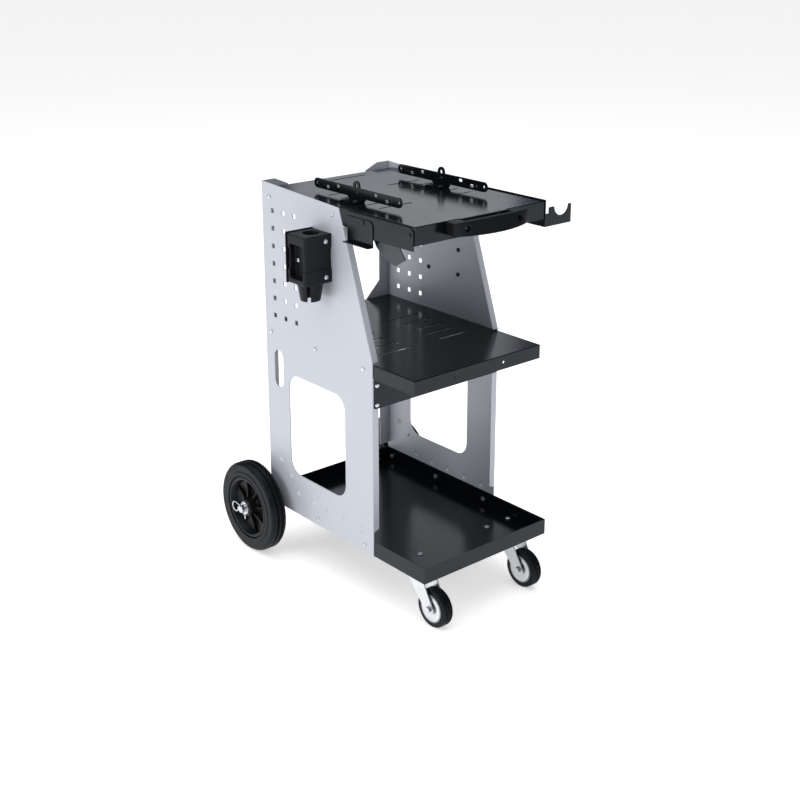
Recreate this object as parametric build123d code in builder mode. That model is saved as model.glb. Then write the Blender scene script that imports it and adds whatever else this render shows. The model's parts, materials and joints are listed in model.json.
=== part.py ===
"""Three-level welding trolley: two folded side panels, two shelves, a floor tray, wheels and castors.

Millimetres, +Z up, the front of the trolley faces -Y. The origin is on the floor, at the middle of
the trolley's overall length and width. Depths are measured forward from the side panels' rear edge,
and heights upward from the underside of the floor tray.
"""

import os
from math import cos, hypot, radians, sin

from build123d import *

# Sheet-metal frame
frame_width = 337.0  # over the outside of both side panels
sheet = 2.0
fold_radius = 1.6
panel_depth = 353.0
panel_knee = 410.5  # where the front edge starts to lean back
panel_top_front = 696.5
panel_top_front_depth = 255.0
panel_top_rear = 710.5
front_flange = 15.0
rear_flange = 28.0
rear_gusset = 65.0  # rear flange width beside a shelf
flange_start = 44.0  # the panels' flanges start above the tray wall
shelf_clearance = 2.0

# Shelves and tray
tray_depth = 505.0
tray_wall = 32.5
middle_shelf_depth = 474.0
middle_shelf_top = 406.5
middle_shelf_lip = 29.0
top_shelf_depth = 473.5
top_shelf_rear_gap = 18.0
top_shelf_top = 698.5
top_shelf_lip = 35.5
apron_height = 60.0
apron_screw_inset = 9.5
finger_lip = 4.0
finger_lip_width = 120.0

# Ventilation slots in both shelves
slot_length = 84.0
slot_width = 5.0
slot_centre_x = 78.0
slot_rows = 5
slot_pitch = 39.0
slot_row_middle = 238.0  # depth of the middle row
long_slot_length = 134.0
long_slot_depth = 46.0

# Holes in the side panels
square_hole = 10.0
hole_columns = 3
hole_rows = 7
hole_pitch = 37.0
hole_first_depth = 36.0
hole_first_height = 432.0
hand_slot_length = 82.0
hand_slot_width = 31.0
hand_slot_depth = 43.5
hand_slot_height = 316.0
window_depth = 188.0
window_height = 222.0
window_corner = 32.0
window_centre_depth = 172.0
window_centre_height = 204.0
dimple_radius = 7.0
dimple_rise = 2.2
dimple_row_height = 45.0
dimple_pitch = 53.3
dimple_arc_radius = 130.0
dimple_arc_step = 18.6
dimple_arc_first = 26.0

# Fasteners
screw_radius = 3.0
screw_hole_radius = 3.2
screw_head_radius = 4.6
screw_head_height = 2.8
bolt_head_radius = 6.0  # castor bolts, on the tray's floor
nut_across = 10.0
nut_height = 5.0
panel_screw_depths = (19.0, 171.5, 325.0)
top_screw_depths = (26.0, 234.5)
tray_screw_height = 15.0
middle_screw_height = 391.5
top_screw_height = 681.0

# Rear axle and wheels
rear_wheel_diameter = 200.0
rear_wheel_width = 40.0
rear_rim_diameter = 138.0
axle_diameter = 16.0
axle_behind = 17.0
wheel_gap = 16.0  # side panel to tyre
hub_overhang = 2.5
axle_end = 11.5  # axle beyond the hub
running_fit = 0.08
face_gap = 0.3
washer_thickness = 2.0
washer_radius = 14.0
bracket_sheet = 4.0
bracket_inset = 14.5  # bracket's outer face, inward from the side panel's
bracket_flange = 32.0
clip_wire_radius = 1.5

# Castors
castor_wheel_diameter = 80.0
castor_wheel_width = 25.0
castor_axle_depth = 490.0
castor_trail = 41.0
castor_inset = 44.5
castor_plate_x = 80.0
castor_plate_y = 100.0
castor_plate = 2.5
castor_bolts_x = 62.0
castor_bolts_y = 80.0
crown_gap = 13.5
crown_sheet = 2.5
race_height = 11.5
race_radius = 24.0
king_pin_radius = 6.0
fork_gap = 31.0
castor_axle_radius = 4.0

# Pull handle on the top shelf's front
handle_length = 192.0
handle_height = 25.0
handle_standoff = 26.5
handle_bow = 23.0
handle_grip = 10.0
handle_foot = 32.0
handle_screw_x = 67.0

# Rack bars that stand on the top shelf
rack_inset = 58.5
rack_middle = 238.0
rack_length = 269.0
rack_bar = 20.0
rack_plate = 3.0
rack_lift = 17.5  # bar's centre line above the shelf
rack_tab = 12.5  # tab hole above the bar's centre line
rack_neck = 43.0
rack_foot = 24.0
rack_bolt_spacing = 26.0

# Torch holder on the left panel
holder_reach = 62.0
holder_front = 230.0
holder_length = 56.0
holder_low = 546.0
holder_high = 643.0
holder_band = 28.0
holder_band_step = 2.0
holder_mouth = 17.0
holder_throat = 12.0
funnel_drop = 37.0
funnel_top = 26.0
funnel_tip = 20.0

# Screws of an accessory on the right panel: (depth, height)
accessory_screws = ((231.0, 553.5), (231.0, 500.0), (138.0, 498.5))

# Worked out from the values above
half_width = frame_width / 2
inner_half = half_width - sheet
base_z = castor_wheel_diameter + crown_gap + crown_sheet + race_height + castor_plate
front_reach = castor_axle_depth + castor_wheel_diameter / 2
rear_reach = axle_behind + rear_wheel_diameter / 2
rear_y = (front_reach - rear_reach) / 2
axle_z = rear_wheel_diameter / 2
axle_y = rear_y + axle_behind
tyre_inner_x = half_width + wheel_gap
hub_inner_x = tyre_inner_x - hub_overhang
hub_outer_x = tyre_inner_x + rear_wheel_width + hub_overhang
axle_reach = hub_outer_x + axle_end + 2.0
clip_x = hub_outer_x + face_gap + washer_thickness + 4.0
bracket_x = half_width - bracket_inset - bracket_sheet
castor_x = half_width - castor_inset
swivel_depth = castor_axle_depth - castor_trail
rack_x = half_width - rack_inset
holder_bolt_depth = holder_front - holder_length / 2
holder_bolts = [(holder_bolt_depth, holder_low + 14.0), (holder_bolt_depth, holder_high - 14.0)]
apron_top = middle_shelf_top - middle_shelf_lip - shelf_clearance
apron_screw_heights = (apron_top - 12.0, apron_top - apron_height + 8.0)
handle_z = base_z + top_shelf_top - 0.5 - handle_height / 2


def y_at(depth):
    """Y of a place this far in front of the side panels' rear edge."""
    return rear_y - depth


def z_at(height):
    """Z of a place this far above the tray's underside."""
    return base_z + height


def across(x):
    """A plane across the trolley's width, with local x along +Y and local y along +Z."""
    return Plane.YZ.offset(x)


def facing(y):
    """A plane that faces the front, with local x along +X and local y along +Z."""
    return Plane.XZ.offset(-y)


def outside(side):
    """The outer face of a side panel, facing away from the trolley, with local y along +Z."""
    return Plane(origin=(side * half_width, 0, 0), x_dir=(0, side, 0), z_dir=(side, 0, 0))


def save(part, name):
    """Label a finished piece and write it."""
    part.label = name
    export_step(part, f"parts/{name}.step")


def slanted_edge_depth(height):
    """Depth of the panel's leaning front edge at a height above the knee."""
    share = (height - panel_knee) / (panel_top_front - panel_knee)
    return panel_depth + share * (panel_top_front_depth - panel_depth)


def slanted_edge_length():
    """Length of the panel's leaning front edge."""
    return hypot(panel_depth - panel_top_front_depth, panel_top_front - panel_knee)


def is_on_face(edge, x):
    """Whether an edge lies in the plane across the trolley at x."""
    return abs((edge @ 0).X - x) < 0.01 and abs((edge @ 1).X - x) < 0.01


def is_level(edge):
    """Whether an edge is nearer to level than to upright."""
    return abs((edge @ 1).Z - (edge @ 0).Z) < abs((edge @ 1).Y - (edge @ 0).Y)


def panel_screw_places():
    """(depth, height) of every screw through a side panel."""
    places = [(depth, top_screw_height) for depth in top_screw_depths]
    places += [(depth, middle_screw_height) for depth in panel_screw_depths]
    places += [(depth, tray_screw_height) for depth in panel_screw_depths]
    return places


def dimple_places():
    """(Y, Z) of the dimples: an arc round the rear wheel, then a row along the panel's foot."""
    places = []
    for step in range(3):
        angle = radians(dimple_arc_first + step * dimple_arc_step)
        places.append((axle_y - dimple_arc_radius * cos(angle), axle_z + dimple_arc_radius * sin(angle)))
    row_start = panel_depth - 40.0
    for step in range(4):
        places.append((y_at(row_start - step * dimple_pitch), z_at(dimple_row_height)))
    return places


# Side panels -------------------------------------------------------------------------------


def dimple_caps(side, face_x):
    """Shallow caps of a ball that stand outward from a face of the panel."""
    ball_radius = (dimple_radius**2 + dimple_rise**2) / (2 * dimple_rise)
    with BuildPart() as caps:
        with Locations(*[(side * (face_x + dimple_rise - ball_radius), y, z) for y, z in dimple_places()]):
            Sphere(ball_radius, rotation=(0, 0, 90))
        with BuildSketch(across(side * face_x)):
            with Locations(*dimple_places()):
                Circle(dimple_radius + sheet)
        extrude(amount=side * 2 * dimple_rise, mode=Mode.INTERSECT)
    return caps.part


def side_panel(side):
    """A folded panel: leaning front edge, front and rear flanges, window, hand slot and holes."""
    outer = side * half_width
    with BuildPart() as panel:
        with BuildSketch(across(outer)):
            with BuildLine():
                Polyline(
                    (y_at(0), z_at(0)),
                    (y_at(panel_depth), z_at(0)),
                    (y_at(panel_depth), z_at(panel_knee)),
                    (y_at(panel_top_front_depth), z_at(panel_top_front)),
                    (y_at(0), z_at(panel_top_rear)),
                    close=True,
                )
            make_face()
            with Locations((y_at(window_centre_depth), z_at(window_centre_height))):
                RectangleRounded(window_depth, window_height, window_corner, mode=Mode.SUBTRACT)
            with Locations((y_at(hand_slot_depth), z_at(hand_slot_height))):
                SlotOverall(hand_slot_length, hand_slot_width, rotation=90, mode=Mode.SUBTRACT)
            grid_depth = hole_first_depth + (hole_columns - 1) * hole_pitch / 2
            grid_height = hole_first_height + (hole_rows - 1) * hole_pitch / 2
            with Locations((y_at(grid_depth), z_at(grid_height))):
                with GridLocations(hole_pitch, hole_pitch, hole_columns, hole_rows):
                    Rectangle(square_hole, square_hole, mode=Mode.SUBTRACT)
            with Locations(*[(y_at(depth), z_at(height)) for depth, height in panel_screw_places()]):
                Circle(screw_hole_radius, mode=Mode.SUBTRACT)
        extrude(amount=-side * sheet)
        with BuildSketch(across(outer)):
            fixings = holder_bolts if side < 0 else accessory_screws
            with Locations(*[(y_at(depth), z_at(height)) for depth, height in fixings]):
                Circle(screw_hole_radius)
        extrude(amount=-side * sheet, mode=Mode.SUBTRACT)

        # Domed dimples pressed outward
        add(dimple_caps(side, half_width))
        add(dimple_caps(side, inner_half), mode=Mode.SUBTRACT)

        # Upright front flange, below the middle shelf
        with BuildSketch(facing(y_at(panel_depth))):
            with BuildLine():
                Polyline(
                    (outer, z_at(flange_start + 7.0)),
                    (side * (half_width - front_flange), z_at(flange_start + 13.0)),
                    (side * (half_width - front_flange), z_at(apron_top)),
                    (outer, z_at(apron_top)),
                    close=True,
                )
            make_face()
            screw_x = side * (half_width - apron_screw_inset)
            with Locations(*[(screw_x, z_at(height)) for height in apron_screw_heights]):
                Circle(screw_hole_radius, mode=Mode.SUBTRACT)
        extrude(amount=-sheet)

        # Leaning front flange, between the two shelves
        lean_start = panel_knee
        lean_end = top_shelf_top - top_shelf_lip - shelf_clearance
        with BuildSketch(across(outer)):
            with BuildLine():
                Polyline(
                    (y_at(slanted_edge_depth(lean_start)), z_at(lean_start)),
                    (y_at(slanted_edge_depth(lean_end)), z_at(lean_end)),
                    (y_at(slanted_edge_depth(lean_end) - sheet), z_at(lean_end)),
                    (y_at(slanted_edge_depth(lean_start) - sheet), z_at(lean_start)),
                    close=True,
                )
            make_face()
        extrude(amount=-side * front_flange)

        # Rear flange, wider beside the shelves
        narrow = side * (half_width - rear_flange)
        wide = side * (half_width - rear_gusset)
        taper = rear_gusset - rear_flange
        middle_low = middle_shelf_top - middle_shelf_lip
        top_low = top_shelf_top - top_shelf_lip
        with BuildSketch(facing(y_at(0))):
            with BuildLine():
                Polyline(
                    (outer, z_at(flange_start)),
                    (narrow, z_at(flange_start)),
                    (narrow, z_at(middle_low - taper)),
                    (wide, z_at(middle_low)),
                    (wide, z_at(middle_shelf_top)),
                    (narrow, z_at(middle_shelf_top + taper)),
                    (narrow, z_at(top_low - taper)),
                    (wide, z_at(top_low)),
                    (wide, z_at(top_shelf_top - shelf_clearance)),
                    (side * (half_width - rear_flange - 5.0), z_at(panel_top_rear)),
                    (outer, z_at(panel_top_rear)),
                    close=True,
                )
            make_face()
        extrude(amount=sheet)

        # The folds' outer corners: the front edges up to the top, and the rear edge
        long_edges = panel.edges().filter_by(lambda edge: edge.length > slanted_edge_length() - 1.0)
        outer_edges = long_edges.filter_by(lambda edge: is_on_face(edge, outer) and not is_level(edge))
        fillet(outer_edges, fold_radius)
    return panel.part


os.makedirs("parts", exist_ok=True)
save(side_panel(-1), "left_side_panel")
save(side_panel(1), "right_side_panel")

# Shelves, apron and tray -------------------------------------------------------------------


def slot_places():
    """Centres of the short ventilation slots, in two columns."""
    places = []
    for row in range(slot_rows):
        depth = slot_row_middle + (row - (slot_rows - 1) / 2) * slot_pitch
        places += [(-slot_centre_x, y_at(depth)), (slot_centre_x, y_at(depth))]
    return places


def rack_bolt_places(side):
    """(X, Y) of the two bolts in a rack bar's foot."""
    x = side * rack_x - rack_foot / 2 - rack_plate / 2
    return [(x, y_at(rack_middle) + step * rack_bolt_spacing) for step in (-0.5, 0.5)]


def folded_shelf(front_depth, rear_depth, top, lip, screw_depths, screw_height):
    """A flat top with a lip folded down on all four sides, and its slots and side holes."""
    length = front_depth - rear_depth
    middle_y = y_at((front_depth + rear_depth) / 2)
    with BuildPart() as shelf:
        with BuildSketch(Plane.XY.offset(z_at(top - lip))):
            with Locations((0, middle_y)):
                Rectangle(2 * inner_half, length)
        extrude(amount=lip)
        with BuildSketch(Plane.XY.offset(z_at(top - lip))):
            with Locations((0, middle_y)):
                Rectangle(2 * (inner_half - sheet), length - 2 * sheet)
        extrude(amount=lip - sheet, mode=Mode.SUBTRACT)
        with BuildSketch(Plane.XY.offset(z_at(top))):
            with Locations(*slot_places()):
                SlotOverall(slot_length, slot_width)
        extrude(amount=-sheet, mode=Mode.SUBTRACT)
        with BuildSketch(across(-half_width)):
            with Locations(*[(y_at(depth), z_at(screw_height)) for depth in screw_depths]):
                Circle(screw_hole_radius)
        extrude(amount=frame_width, mode=Mode.SUBTRACT)
        shortest_side = min(length, 2 * inner_half)
        top_edges = shelf.edges().group_by(Axis.Z)[-1]
        fillet(top_edges.filter_by(lambda edge: edge.length > shortest_side - fold_radius), fold_radius)
    return shelf


lip_hole_x = 65.0
lip_hole_height = 392.0
lip_hole_radius = 3.0
plain_middle = folded_shelf(
    middle_shelf_depth, sheet, middle_shelf_top, middle_shelf_lip, panel_screw_depths, middle_screw_height
)
with BuildPart() as middle:
    add(plain_middle)
    with BuildSketch(facing(y_at(middle_shelf_depth))):
        with Locations(*[(side * lip_hole_x, z_at(lip_hole_height)) for side in (-1, 1)]):
            Circle(lip_hole_radius)
    extrude(amount=-sheet, mode=Mode.SUBTRACT)
save(middle.part, "middle_shelf")

hook_screw_depths = (345.0, 440.0)
left_screw_depths = (330.0, 460.0)
plain_top = folded_shelf(
    top_shelf_depth, top_shelf_rear_gap, top_shelf_top, top_shelf_lip, top_screw_depths, top_screw_height
)
with BuildPart() as top:
    add(plain_top)
    # Rolled finger lip behind the handle
    with BuildSketch(Plane.XY.offset(z_at(top_shelf_top))):
        with Locations((0, y_at(top_shelf_depth + finger_lip / 2))):
            Rectangle(finger_lip_width, finger_lip)
    extrude(amount=-sheet)
    fillet(top.edges().filter_by(Axis.Z).group_by(Axis.Y)[0], finger_lip / 2)
    # Long slot near the rear
    with BuildSketch(Plane.XY.offset(z_at(top_shelf_top))):
        with Locations((0, y_at(long_slot_depth))):
            SlotOverall(long_slot_length, slot_width)
    extrude(amount=-sheet, mode=Mode.SUBTRACT)
    # Handle screws, then the brackets' screws on the right and on the left
    with BuildSketch(facing(y_at(top_shelf_depth))):
        with Locations((-handle_screw_x, handle_z), (handle_screw_x, handle_z)):
            Circle(screw_hole_radius)
    extrude(amount=-sheet, mode=Mode.SUBTRACT)
    for side, depths in ((1, hook_screw_depths), (-1, left_screw_depths)):
        with BuildSketch(across(side * inner_half)):
            with Locations(*[(y_at(depth), z_at(top_screw_height)) for depth in depths]):
                Circle(screw_hole_radius)
        extrude(amount=-side * sheet, mode=Mode.SUBTRACT)
    # Bolts of the two rack bars' feet
    with BuildSketch(Plane.XY.offset(z_at(top_shelf_top))):
        with Locations(*rack_bolt_places(-1), *rack_bolt_places(1)):
            Circle(screw_hole_radius)
    extrude(amount=-sheet, mode=Mode.SUBTRACT)
save(top.part, "top_shelf")

with BuildPart() as apron:
    with BuildSketch(facing(y_at(panel_depth))):
        with Locations((0, z_at(apron_top - apron_height / 2))):
            RectangleRounded(2 * (half_width - 3.5), apron_height, 3.0)
        for side in (-1, 1):
            screw_x = side * (half_width - apron_screw_inset)
            with Locations(*[(screw_x, z_at(height)) for height in apron_screw_heights]):
                Circle(screw_hole_radius, mode=Mode.SUBTRACT)
    extrude(amount=sheet)
save(apron.part, "cross_apron")


def castor_bolt_places(side):
    """(X, Y) of one castor's four bolts."""
    places = []
    for step_x in (-0.5, 0.5):
        for step_y in (-0.5, 0.5):
            x = side * castor_x + step_x * castor_bolts_x
            places.append((x, y_at(swivel_depth) + step_y * castor_bolts_y))
    return places


bracket_bolt_x = bracket_x - bracket_flange / 2 - 2.0
bracket_bolt_heights = (9.0, 24.0)

with BuildPart() as tray:
    with BuildSketch(Plane.XY.offset(z_at(0))):
        with Locations((0, y_at(tray_depth / 2))):
            Rectangle(2 * inner_half, tray_depth)
    extrude(amount=tray_wall)
    with BuildSketch(Plane.XY.offset(z_at(sheet))):
        with Locations((0, y_at(tray_depth / 2))):
            Rectangle(2 * (inner_half - sheet), tray_depth - 2 * sheet)
    extrude(amount=tray_wall, mode=Mode.SUBTRACT)
    with BuildSketch(Plane.XY.offset(z_at(0))):
        with Locations(*castor_bolt_places(-1), *castor_bolt_places(1)):
            Circle(screw_hole_radius)
    extrude(amount=sheet, mode=Mode.SUBTRACT)
    with BuildSketch(across(-half_width)):
        with Locations(*[(y_at(depth), z_at(tray_screw_height)) for depth in panel_screw_depths]):
            Circle(screw_hole_radius)
    extrude(amount=frame_width, mode=Mode.SUBTRACT)
    with BuildSketch(facing(y_at(0))):
        for side in (-1, 1):
            with Locations(*[(side * bracket_bolt_x, z_at(height)) for height in bracket_bolt_heights]):
                Circle(screw_hole_radius)
    extrude(amount=sheet, mode=Mode.SUBTRACT)
save(tray.part, "bottom_tray")

# Screws, bolts and nuts --------------------------------------------------------------------


def pan_screws(plane, places, grip, radius=screw_radius, nut=True, head=screw_head_radius):
    """Screws with their heads on the plane's positive side, through a grip, with nuts beyond it."""
    with BuildPart() as screws:
        with BuildSketch(plane):
            with Locations(*places):
                Circle(head)
        extrude(amount=screw_head_height)
        head_edges = screws.edges().filter_by(GeomType.CIRCLE).filter_by(
            lambda edge: abs(plane.to_local_coords(edge.center()).Z - screw_head_height) < 0.01
        )
        fillet(head_edges, screw_head_height * 0.55)
        with BuildSketch(plane):
            with Locations(*places):
                Circle(radius)
        extrude(amount=-(grip + (nut_height + 2.0 if nut else 8.0)))
    with BuildPart() as nuts:
        with BuildSketch(plane.offset(-grip)):
            with Locations(*places):
                RegularPolygon(nut_across / 2, 6, major_radius=False)
                Circle(radius + 0.05, mode=Mode.SUBTRACT)
        extrude(amount=-nut_height)
    solids = screws.part.solids() + (nuts.part.solids() if nut else [])
    return solids


def save_group(solids, name):
    """Write several separate solids as one node."""
    save(Compound(children=list(solids)), name)


panel_fasteners = []
for side in (-1, 1):
    places = [(side * y_at(depth), z_at(height)) for depth, height in panel_screw_places()]
    panel_fasteners += pan_screws(outside(side), places, 2 * sheet)
save_group(panel_fasteners, "panel_screws")

apron_places = []
for side in (-1, 1):
    screw_x = side * (half_width - apron_screw_inset)
    apron_places += [(screw_x, z_at(height)) for height in apron_screw_heights]
save_group(pan_screws(facing(y_at(panel_depth + sheet)), apron_places, 2 * sheet), "apron_screws")

right_inside = Plane(origin=(inner_half, 0, 0), x_dir=(0, -1, 0), z_dir=(-1, 0, 0))
accessory_places = [(-y_at(depth), z_at(height)) for depth, height in accessory_screws]
save_group(pan_screws(right_inside, accessory_places, sheet), "accessory_screws")

tray_floor = Plane.XY.offset(z_at(sheet))
castor_fasteners = []
for side in (-1, 1):
    places = castor_bolt_places(side)
    castor_fasteners += pan_screws(tray_floor, places, sheet + castor_plate, head=bolt_head_radius)
save_group(castor_fasteners, "castor_bolts")

# Pull handle -------------------------------------------------------------------------------

grip_y = y_at(top_shelf_depth) - handle_standoff
handle_top_bow = 1.5
recess_radius = 6.0
recess_floor = 14.0  # screw seat, in front of the shelf


def grip_outline(bow, inset):
    """A bowed bar seen from above: a long outer arc and a parallel inner one."""
    end = handle_length / 2 - inset
    back_y = grip_y + handle_grip
    with BuildSketch() as outline:
        with BuildLine():
            front_arc = ThreePointArc((-end, grip_y), (0, grip_y - bow), (end, grip_y))
            back_arc = ThreePointArc((-end, back_y), (0, back_y - bow), (end, back_y))
            Line(front_arc @ 0, back_arc @ 0)
            Line(front_arc @ 1, back_arc @ 1)
        make_face()
    return outline.sketch


with BuildPart() as handle:
    with BuildSketch(Plane.XY.offset(handle_z - handle_height / 2)):
        add(grip_outline(handle_bow, 0.0))
    with BuildSketch(Plane.XY.offset(handle_z + handle_height / 2)):
        add(grip_outline(handle_top_bow, 2.0))
    loft()
    with BuildSketch(Plane.XY.offset(handle_z - handle_height / 2)):
        for side in (-1, 1):
            foot_x = side * (handle_length / 2 - 3.0 - handle_foot / 2)
            with Locations((foot_x, y_at(top_shelf_depth) - handle_standoff / 2)):
                Rectangle(handle_foot, handle_standoff)
    extrude(amount=handle_height)
    with BuildSketch(facing(grip_y - handle_bow)):
        with Locations((-handle_screw_x, handle_z), (handle_screw_x, handle_z)):
            Circle(recess_radius)
    extrude(amount=-(handle_bow + handle_standoff - recess_floor), mode=Mode.SUBTRACT)
    with BuildSketch(facing(y_at(top_shelf_depth))):
        with Locations((-handle_screw_x, handle_z), (handle_screw_x, handle_z)):
            Circle(screw_hole_radius)
    extrude(amount=handle_standoff, mode=Mode.SUBTRACT)
save(handle.part, "front_handle")

handle_places = [(-handle_screw_x, handle_z), (handle_screw_x, handle_z)]
seat = facing(y_at(top_shelf_depth) - recess_floor)
save_group(pan_screws(seat, handle_places, recess_floor + sheet), "handle_screws")

# Hook bracket on the right, cable brackets on the left -------------------------------------

hook_rear_depth = 306.0
hook_low = 647.0
hook_high = 701.0
hook_reach = axle_reach - half_width
hook_top = 685.0
cradle_radius = 20.0

with BuildPart() as hook:
    with BuildSketch(across(inner_half)):
        with BuildLine():
            Polyline(
                (y_at(hook_rear_depth), z_at(hook_high)),
                (y_at(hook_rear_depth), z_at(hook_low + 16.0)),
                (y_at(hook_rear_depth + 16.0), z_at(hook_low)),
                (y_at(top_shelf_depth + sheet), z_at(hook_low)),
                (y_at(top_shelf_depth + sheet), z_at(hook_high)),
                close=True,
            )
        make_face()
        with Locations(*[(y_at(depth), z_at(top_screw_height)) for depth in hook_screw_depths]):
            Circle(screw_hole_radius, mode=Mode.SUBTRACT)
    extrude(amount=sheet)
    with BuildSketch(facing(y_at(top_shelf_depth))):
        with Locations((half_width + hook_reach / 2, z_at((hook_low + hook_top) / 2))):
            Rectangle(hook_reach, hook_top - hook_low)
        with Locations((half_width + hook_reach - cradle_radius - 8.0, z_at(hook_top))):
            Circle(cradle_radius, mode=Mode.SUBTRACT)
        with Locations((half_width, z_at(hook_top))):
            Rectangle(18.0, 24.0, mode=Mode.SUBTRACT)
    extrude(amount=sheet)
    cross_edges = hook.edges().filter_by(Axis.Y)
    prong_edges = cross_edges.filter_by_position(Axis.Z, z_at(hook_top) - 0.1, z_at(hook_top) + 0.1)
    fillet(prong_edges, 2.5)
save(hook.part, "right_hook_bracket")

# The left plate's tongue leans inward and down from the plate's lower edge
side_plate_low = 653.0
side_plate_high = 696.0
side_plate_front = 471.0
side_plate_rear = 284.0
plate_corner = 12.0
tongue_rear = 361.0
tongue_front = 433.0
tongue_length = 47.0
tongue_tilt = 23.0
tongue_root = Plane(
    origin=(-half_width + sheet, rear_y, z_at(side_plate_low)),
    x_dir=(0, -1, 0),
    z_dir=(-cos(radians(tongue_tilt)), 0, -sin(radians(tongue_tilt))),
)

side_plate_y = y_at((side_plate_rear + side_plate_front) / 2)
side_plate_z = z_at((side_plate_low + side_plate_high) / 2)
with BuildPart() as cable_plate:
    with BuildSketch(across(-half_width)) as outline:
        with Locations((side_plate_y, side_plate_z)):
            Rectangle(side_plate_front - side_plate_rear, side_plate_high - side_plate_low)
        front_top = outline.vertices().group_by(Axis.X)[0].sort_by(Axis.Y)[-1]
        fillet(front_top, plate_corner)
        with Locations(*[(y_at(depth), z_at(top_screw_height)) for depth in left_screw_depths]):
            Circle(screw_hole_radius, mode=Mode.SUBTRACT)
    extrude(amount=sheet)
    with BuildSketch(tongue_root):
        with BuildLine():
            Polyline(
                (tongue_rear, 2.0),
                (tongue_rear, -0.3 * tongue_length),
                (tongue_rear + 24.0, 4.0 - tongue_length),
                (tongue_rear + 40.0, -tongue_length),
                (tongue_front + 5.0, -0.55 * tongue_length),
                (tongue_front, 2.0),
                close=True,
            )
        make_face()
    extrude(amount=sheet)
save(cable_plate.part, "left_cable_plate")

cable_hook_front = 359.0
cable_hook_low = 638.0
cable_hook_high = 688.0
cable_hook_lip = 14.0
cable_hook_y = y_at((side_plate_rear + cable_hook_front) / 2)
cable_hook_z = z_at((cable_hook_low + cable_hook_high) / 2)
with BuildPart() as cable_hook:
    with BuildSketch(across(-half_width)) as outline:
        with Locations((cable_hook_y, cable_hook_z)):
            Rectangle(cable_hook_front - side_plate_rear, cable_hook_high - cable_hook_low)
        front_top = outline.vertices().group_by(Axis.X)[0].sort_by(Axis.Y)[-1]
        fillet(front_top, plate_corner)
        with Locations((y_at(left_screw_depths[0]), z_at(top_screw_height))):
            Circle(screw_hole_radius, mode=Mode.SUBTRACT)
    extrude(amount=-sheet)
    with BuildSketch(Plane.XY.offset(z_at(cable_hook_low))):
        with Locations((-half_width - cable_hook_lip / 2, cable_hook_y)):
            Rectangle(cable_hook_lip, cable_hook_front - side_plate_rear)
    extrude(amount=sheet)
save(cable_hook.part, "left_cable_hook")

bracket_fasteners = pan_screws(
    outside(1), [(y_at(depth), z_at(top_screw_height)) for depth in hook_screw_depths], 2 * sheet
)
for depth, extra in zip(left_screw_depths, (sheet, 0.0)):
    place = (-y_at(depth), z_at(top_screw_height))
    bracket_fasteners += pan_screws(outside(-1).offset(extra), [place], 2 * sheet + extra)
save_group(bracket_fasteners, "bracket_screws")

# Rack bars ---------------------------------------------------------------------------------

shelf_z = z_at(top_shelf_top)
bar_z = shelf_z + rack_lift


rack_eye_radius = 4.0
rack_rivet_radius = 2.5
rack_neck_flare = 7.0
rack_neck_overlap = 1.0
rack_slot_length = 12.0
rack_slot_width = 6.0
# Each hole's distance from the bar's end, its height from the bar's middle line and its radius
rack_holes = ((9.0, 0.0, 3.5), (31.0, -1.5, 2.2))
# Each slot's distance from the bar's end and its height from the bar's middle line
rack_slots = ((44.0, -2.5), (77.0, 3.5))


def rack_bar_part(side):
    """An upright punched bar on a folded foot; both feet point to the trolley's left."""
    middle_y = y_at(rack_middle)
    half_neck = rack_neck / 2
    half_flare = half_neck + rack_neck_flare
    neck_top = bar_z - rack_bar / 2 + rack_neck_overlap
    with BuildPart() as rack:
        with BuildSketch(across(side * rack_x - rack_plate / 2)):
            with Locations((middle_y, bar_z)):
                SlotOverall(rack_length, rack_bar)
            with Locations((middle_y, bar_z + rack_tab)):
                Circle(rack_bar / 2)
            with Locations((middle_y, bar_z + rack_tab / 2)):
                Rectangle(rack_bar, rack_tab)
            with BuildLine():
                Polyline(
                    (middle_y - half_neck, shelf_z),
                    (middle_y + half_neck, shelf_z),
                    (middle_y + half_flare, neck_top),
                    (middle_y - half_flare, neck_top),
                    close=True,
                )
            make_face()
            with Locations((middle_y, bar_z + rack_tab)):
                Circle(rack_eye_radius, mode=Mode.SUBTRACT)
            with Locations((middle_y, bar_z)):
                Circle(rack_rivet_radius, mode=Mode.SUBTRACT)
            for end in (-1, 1):
                for inset, height, radius in rack_holes:
                    with Locations((middle_y + end * (rack_length / 2 - inset), bar_z + height)):
                        Circle(radius, mode=Mode.SUBTRACT)
                for inset, height in rack_slots:
                    with Locations((middle_y + end * (rack_length / 2 - inset), bar_z + height)):
                        SlotOverall(rack_slot_length, rack_slot_width, mode=Mode.SUBTRACT)
        extrude(amount=rack_plate)
        with BuildSketch(Plane.XY.offset(shelf_z)):
            with Locations((side * rack_x + rack_plate / 2 - (rack_foot + rack_plate) / 2, middle_y)):
                Rectangle(rack_foot + rack_plate, rack_neck)
            with Locations(*rack_bolt_places(side)):
                Circle(screw_hole_radius, mode=Mode.SUBTRACT)
        extrude(amount=rack_plate)
    return rack.part


save(rack_bar_part(-1), "left_rack_bar")
save(rack_bar_part(1), "right_rack_bar")
rack_places = rack_bolt_places(-1) + rack_bolt_places(1)
save_group(pan_screws(Plane.XY.offset(shelf_z + rack_plate), rack_places, rack_plate + sheet), "rack_bolts")

# Torch holder ------------------------------------------------------------------------------

holder_x = -half_width - holder_reach / 2
holder_y = y_at(holder_front - holder_length / 2)
pocket_depth = 13.0
pocket_height = 68.0
lug_screw_radius = 2.5
lug_inset = 15.0
lug_heights = (holder_low + 12.0, holder_high - 14.0)
pocket_screw = (holder_y + 12.0, z_at(590.0))

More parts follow.
